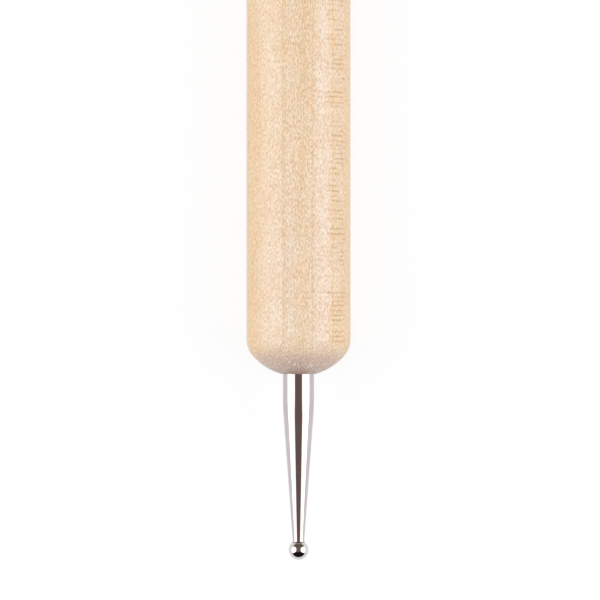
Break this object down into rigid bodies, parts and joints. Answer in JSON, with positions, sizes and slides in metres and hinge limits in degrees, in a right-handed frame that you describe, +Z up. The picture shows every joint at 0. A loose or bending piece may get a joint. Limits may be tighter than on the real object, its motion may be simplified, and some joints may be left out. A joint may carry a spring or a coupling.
{
  "type": "embossing stylus",
  "caption": "Double-ended embossing stylus: a round wooden handle with domed ends, each holding a tapered bright metal shank that ends in a small ball.",
  "frame": {"origin": "on the surface that the stylus lies on, under the middle of its length and of its width", "axes": "+Y along the stylus, from the fine tip towards the broad tip; +Z up from the surface; +X to the right when the fine tip points towards the viewer's feet"},
  "size_m": [0.01, 0.1358, 0.01],
  "materials": {
    "maple": "fine sanded, thin clear seal, satin",
    "plated_steel": "turned, plated and polished bright",
    "ball_steel": "ground ball, plated and polished bright",
    "plated_braze": "plated over with the shank, slightly duller",
    "epoxy_glue": "set epoxy glue, honey coloured"
  },
  "bodies": {
    "root": {"handle": "maple", "fine_tip_shank": "plated_steel", "fine_tip_ball": "ball_steel", "fine_tip_braze": "plated_braze", "fine_tip_glue": "epoxy_glue", "broad_tip_shank": "plated_steel", "broad_tip_ball": "ball_steel", "broad_tip_braze": "plated_braze", "broad_tip_glue": "epoxy_glue"}
  },
  "joints": []
}
